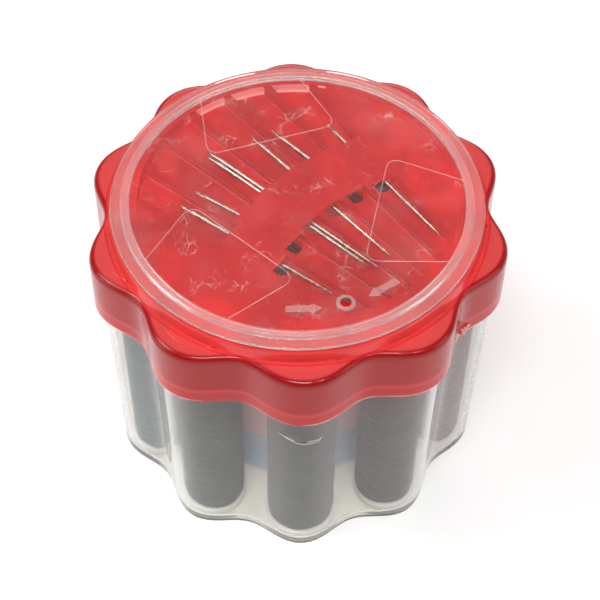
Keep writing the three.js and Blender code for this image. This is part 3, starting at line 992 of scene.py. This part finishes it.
def make_needle(number, material):
    """A needle with a long fine point, a flattened head and a slotted eye."""
    name = f"needle_{number}"
    low, high = extent(name)
    joint = next(j for j in frame["joints"] if j["name"] == name + "_slide")
    eyeward = Vector(joint["axis"])
    radius = (high.z - low.z) / 2
    length = ((high - low).x - 2 * radius * abs(eyeward.y)) / abs(eyeward.x)
    body, wide = 0.86 * radius, 0.98 * radius
    head = length - NEEDLE["head"]
    profile = rounded([
        (0, 0, 0),
        (0.5 * body, 1.5, 1),
        (0.85 * body, 4, 2),
        (body, 8, 2),
        (body, head - 2.4, 2),
        (wide, head + 0.8, 1),
        (wide, length - 0.7, 0.5),
        (0.5 * radius, length - 0.05, 0.2),
        (0, length, 0),
    ], steps=3)
    piece = turned(name + "_steel", profile, 20)
    for vertex in piece.data.vertices:
        along = vertex.co.z / MM
        if along > head:
            vertex.co.x *= 1 - NEEDLE["flattened"] * min(1, (along - head) / NEEDLE["taper"])
    half, start, end = NEEDLE["eye_half"], length - NEEDLE["eye_from"], length - NEEDLE["eye_to"]
    corners = [(-half, start, 0.18), (half, start, 0.18), (half, end, 0.18), (-half, end, 0.18)]
    eye = rounded(corners, steps=4, closed=True)
    cutter = loft("eye", [[(x, y, z) for y, z in eye] for x in (-1, 1)])
    piece = combine(piece, [cutter], "DIFFERENCE", "EXACT")
    centre = (low + high) / 2 * MM
    back = centre - eyeward * (length / 2) * MM
    turn = eyeward.to_track_quat("Z", "X").to_matrix().to_4x4()
    piece.data.transform(Matrix.Translation(back) @ turn)
    stand_in(piece, name, material)


# ---- Spools ----

def make_spool(number, core_material, thread_look):
    """A flanged core and the thread wound on it in crossing layers."""
    core, thread = f"spool_core_{number:02d}", f"thread_{number:02d}"
    low, high = extent(core)
    at = plan_middle(core)
    bore, hub, flange, thick = 2.4, 4.2, (high.y - low.y) / 2, 1.3
    core_profile = rounded([
        (bore, low.z, 0.2),
        (flange, low.z, 0.3),
        (flange, low.z + thick, 0.3),
        (hub, low.z + thick, 0.3),
        (hub, high.z - thick, 0.3),
        (flange, high.z - thick, 0.3),
        (flange, high.z, 0.3),
        (bore, high.z, 0.2),
    ], steps=4, closed=True)
    stand_in(turned(core + "_flanged", core_profile, 48, at=at), core, core_material)
    low, high = extent(thread)
    inner, outer = 4.5, (high.y - low.y) / 2
    rows, tall, inset = 150, high.z - low.z, 0.18
    side = [(outer - inset, low.z + tall * i / rows) for i in range(rows + 1)]
    profile = [(inner, low.z), *side, (inner, high.z)]

    def winding(radius, height, bearing):
        if radius <= inner:
            return radius
        turns = (height - low.z) / THREAD["layer_pitch"]
        rise = math.cos(FULL_TURN * turns + THREAD["layer_slant"] * bearing + number)
        cross = math.cos(FULL_TURN * turns * THREAD["cross_rate"] - THREAD["cross_slant"] * bearing)
        end = min(height - low.z, high.z - height)
        layers = radius + THREAD["layer_height"] * rise + THREAD["cross_height"] * cross
        return layers - THREAD["end_drop"] * math.exp(-end / THREAD["end_drop"])

    piece = turned(thread + "_winding", profile, 48, winding, at=at, smooth_below=60)
    stand_in(piece, thread, thread_look)


# ---- Trays and what they hold ----

def make_tray(name, material, divided):
    """A round tray with a stepped foot and, where it has one, a divider across its middle."""
    low, high = extent(name)
    radius = (high.x - low.x) / 2
    foot, step, wall, floor = radius - 1.5, low.z + 1.0, 1.0, low.z + 1.2
    profile = rounded([
        (0, low.z, 0),
        (foot, low.z, 0.3),
        (foot, step, 0.2),
        (radius, step, 0.4),
        (radius, high.z, 0.3),
        (radius - wall, high.z, 0.3),
        (radius - wall, floor, 1.5),
        (0, floor, 0),
    ], steps=5)
    piece = turned(name + "_round", profile, 120)
    if divided:
        half, thin, tall = radius - wall + 0.4, 0.5, 12.6
        outline = [(-half, -thin), (half, -thin), (half, thin), (-half, thin)]
        divider = prism("divider", outline, floor - 0.15, low.z + tall, 0.25)
        piece = combine(piece, [divider], "UNION")
    stand_in(piece, name, material)


def make_button(number, material):
    """A dished button with two holes."""
    name = f"button_{number}"
    low, high = extent(name)
    at = plan_middle(name)
    radius = (high.x - low.x) / 2
    profile = rounded([
        (0, low.z, 0),
        (radius - 1, low.z, 0.8),
        (radius, low.z + 1.2, 0.9),
        (radius - 0.7, high.z, 0.5),
        (radius - 1.7, low.z + 1.5, 0.6),
        (0, low.z + 1.35, 0),
    ])
    piece = turned(name + "_dished", profile, 64, at=at)
    hole, apart = 0.8, 1.4
    places = [(at[0] + apart * side, at[1]) for side in (-1, 1)]
    holes = [drill(hole, low.z - 1, high.z + 1, 24, spot) for spot in places]
    piece = combine(piece, holes, "DIFFERENCE")
    stand_in(piece, name, material)


def make_thimble(material):
    """A thimble with its mouth up: rows of dimples on its side, and a rolled lip."""
    low, high = extent("thimble")
    at = plan_middle("thimble")
    lip = (high.x - low.x) / 2
    foot, flare, tall, steps = 5.6, 2.0, 16.4, 60
    side = [(foot + flare * i / steps, low.z + 1.2 + tall * i / steps) for i in range(steps + 1)]
    crown = rounded([(4.4, low.z, 0), (foot - 0.2, low.z, 0.6), (foot, low.z + 1.1, 0)])
    mouth = rounded([
        (7.65, high.z - 1.8, 0),
        (lip, high.z - 1.4, 0.4),
        (lip, high.z, 0.5),
        (7.1, high.z, 0.4),
        (5.1, low.z + 1.4, 1),
        (0, low.z + 1.0, 0),
    ])
    profile = [(0, low.z), *crown, *side, *mouth]
    first_row, row_pitch, rows, dimples, depth = 2.5, 1.05, 13, 30, 0.16

    def dimpled(radius, height, bearing):
        row = (height - low.z - first_row) / row_pitch
        outside = foot < radius < foot + flare + 0.02 and 0 < row < rows
        if not outside:
            return radius
        shift = math.pi * (math.floor(row) % 2)
        hollow = max(0, math.cos(dimples * bearing + shift)) * max(0, math.sin(math.pi * (row % 1)))
        return radius - depth * hollow

    stand_in(turned("thimble_dimpled", profile, 180, dimpled, at=at), "thimble", material)


def make_tape(material):
    """A tape wound in one long spiral, lying on its side."""
    low, high = extent("tape_measure")
    centre = Vector((*plan_middle("tape_measure"), 0))
    inner, outer, thick, turns, steps = 2.3, (high.x - low.x) / 2 - 0.05, 0.5, 13, 48
    sections = []
    for i in range(turns * steps + 1):
        bearing = FULL_TURN * i / steps
        radius = inner + (outer - thick - inner) * i / (turns * steps)
        out = Vector((math.sin(bearing), -math.cos(bearing), 0))
        near, far = centre + out * radius, centre + out * (radius + thick)
        corners = ((near, low.z), (far, low.z), (far, high.z), (near, high.z))
        sections.append([(point.x, point.y, z) for point, z in corners])
    stand_in(loft("tape_measure_roll", sections), "tape_measure", material)


def make_safety_pin(number, material):
    """Two sprung arms from a round coil, and a pressed clasp over their ends."""
    wire, clasp = f"safety_pin_wire_{number}", f"safety_pin_clasp_{number}"
    low, high = extent(wire)
    clasp_low, clasp_high = extent(clasp)
    turn, centre = SAFETY_PINS[number]
    lift, gauge = (low.z + high.z) / 2, 0.38
    arm = [(-12.4, 2.2), (-9, 2.4), (-4, 2.5), (2, 2.6), (7, 2.5), (9.6, 2.1)]
    coil_x, coil_radius = 11.3, 1.9
    bends = [math.radians(15 * k) for k in range(13)]
    coil = [(coil_x + coil_radius * math.sin(bend), coil_radius * math.cos(bend)) for bend in bends]
    points = arm + coil + [(x, -y) for x, y in reversed(arm)]
    spin = Matrix.Rotation(math.radians(turn), 4, "Z")
    route = [spin @ Vector((x, y, 0)) + centre + Vector((0, 0, lift)) for x, y in points]
    stand_in(tube(wire + "_bent", route, gauge, sides=12), wire, material)
    outline = rounded([
        (-16.9, -1.6, 0.8),
        (-15.9, -3.1, 0.8),
        (-13.0, -3.1, 0.5),
        (-13.0, 3.1, 0.5),
        (-15.9, 3.1, 0.8),
        (-16.9, 1.6, 0.8),
    ], steps=4, closed=True)
    cap = prism(clasp + "_pressed", outline, clasp_low.z, clasp_high.z, 0.35)
    cap.data.transform(Matrix.Translation(centre * MM) @ spin)
    stand_in(cap, clasp, material)


# ---- The room ----

# Each light's bearing and elevation in degrees, distance and sides in metres, and power in watts.
LIGHTS = {
    "key": (-10, 66, 0.8, (0.30, 0.18), 2.5),
    "left_high": (-97, 53, 0.8, (0.26, 0.26), 1.7),
    "side": (40, 58, 0.8, (0.08, 0.14), 0.5),
    "left_strip": (-80, 20, 0.6, (0.3, 0.45), 0.6),
    "right_strip": (72, 20, 0.6, (0.3, 0.45), 0.6),
    "back_strip": (176, 27, 0.8, (0.45, 0.20), 0.9),
}
LIGHTS_AIM = Vector((0, 0, 0.05))


def make_stage():
    """The pale floor, just under the box."""
    bm = bmesh.new()
    bmesh.ops.create_grid(bm, x_segments=4, y_segments=4, size=2.0)
    floor = show("floor", bm)
    material, tree = new_material("pale_floor")
    principled(tree, {
        "Base Color": (0.95, 0.95, 0.945, 1),
        "Roughness": 0.8,
        "Specular IOR Level": 0.1,
        "Emission Color": (1, 1, 1, 1),
        "Emission Strength": 0.24,
    })
    dress(floor, material)
    floor.location.z = -0.0002


def add_light(name, bearing, elevation, distance, size, power):
    """A soft rectangular light in the direction of a bearing and an elevation from the box."""
    light = bpy.data.lights.new(name, "AREA")
    light.shape = "RECTANGLE"
    light.size, light.size_y = size
    light.energy = power
    lamp = place_object(name, light)
    tilt = math.radians(elevation)
    away = Vector((*placed(math.cos(tilt), bearing), math.sin(tilt)))
    lamp.location = LIGHTS_AIM + away * distance
    lamp.rotation_euler = away.to_track_quat("Z", "Y").to_euler()


def make_lights():
    """White surroundings and soft lamps."""
    world = bpy.data.worlds.new("studio")
    world.use_nodes = True
    sky = world.node_tree.nodes["Background"].inputs
    sky["Color"].default_value = (1.0, 1.0, 1.0, 1)
    sky["Strength"].default_value = 0.27
    bpy.context.scene.world = world
    for name, settings in LIGHTS.items():
        add_light(name, *settings)
    view = bpy.context.scene.view_settings
    view.view_transform = "Standard"
    view.look = "None"


def make_camera():
    """Above and in front, at the photograph's viewing angle."""
    distance, elevation, dip = 307.0, math.radians(48.22), math.radians(52.05)
    yaw, roll, azimuth = math.radians(0.23), math.radians(0.92), math.radians(-2.62)
    middle = Vector((0, 0, COVER_FLANGE_Z + COVER["flange"]))
    eye = Vector((0, -math.cos(elevation), math.sin(elevation))) * distance
    ahead = Vector((math.sin(yaw) * math.cos(dip), math.cos(yaw) * math.cos(dip), -math.sin(dip)))
    right = Vector((math.cos(yaw), -math.sin(yaw), 0))
    up = right.cross(ahead)
    turned_right = right * math.cos(roll) + up * math.sin(roll)
    turned_up = up * math.cos(roll) - right * math.sin(roll)
    basis = Matrix((turned_right, turned_up, -ahead)).transposed().to_4x4()
    spin = Matrix.Rotation(azimuth, 4, "Z")
    lens = bpy.data.cameras.new("camera")
    lens.lens = 91.81
    lens.sensor_width = 36
    lens.clip_start = 0.01
    camera = place_object("camera", lens)
    camera.matrix_world = spin @ Matrix.Translation((eye + middle) * MM) @ basis
    bpy.context.scene.camera = camera


# ---- The whole ----

make_camera()
make_stage()
make_lights()

make_base(
    milky_plastic(),
    mark_look("pale_mark", (0.82, 0.82, 0.78)),
    mark_look("dark_mark", (0.05, 0.05, 0.06)),
)
make_lid(red_plastic(), mark_look("scar", (0.95, 0.42, 0.42)))
make_cover(
    cover_plastic("clear_plastic", 0.01),
    cover_plastic("frosted_plastic", 0.21),
    cover_plastic("line_plastic", 0.30),
    cover_plastic("ring_plastic", 0.12),
)

needle_steel = steel("needle_steel", (0.60, 0.585, 0.51), 0.24)
for number in range(1, 8):
    make_needle(number, needle_steel)

spool_white = moulded("spool_white", (0.86, 0.85, 0.81), 0.4)
for number in range(1, 11):
    slot = SLOT_OF[f"thread_{number:02d}"]
    make_spool(number, spool_white, thread_material(slot + "_strands", COLOUR_OF[slot]))

for name, divided in (("tray_lower", True), ("tray_middle", True), ("tray_upper", False)):
    slot = SLOT_OF[name]
    make_tray(name, moulded(slot + "_plastic", COLOUR_OF[slot]), divided)
for number in range(1, 5):
    slot = SLOT_OF[f"button_{number}"]
    make_button(number, moulded(slot + "_polished", COLOUR_OF[slot], 0.2))
make_thimble(steel("thimble_steel", (0.84, 0.83, 0.80), 0.28))
make_tape(moulded("tape_cloth", COLOUR_OF[SLOT_OF["tape_measure"]], 0.6))
brass = steel("brass_wire", (0.80, 0.60, 0.26), 0.25)
for number in (1, 2):
    make_safety_pin(number, brass)
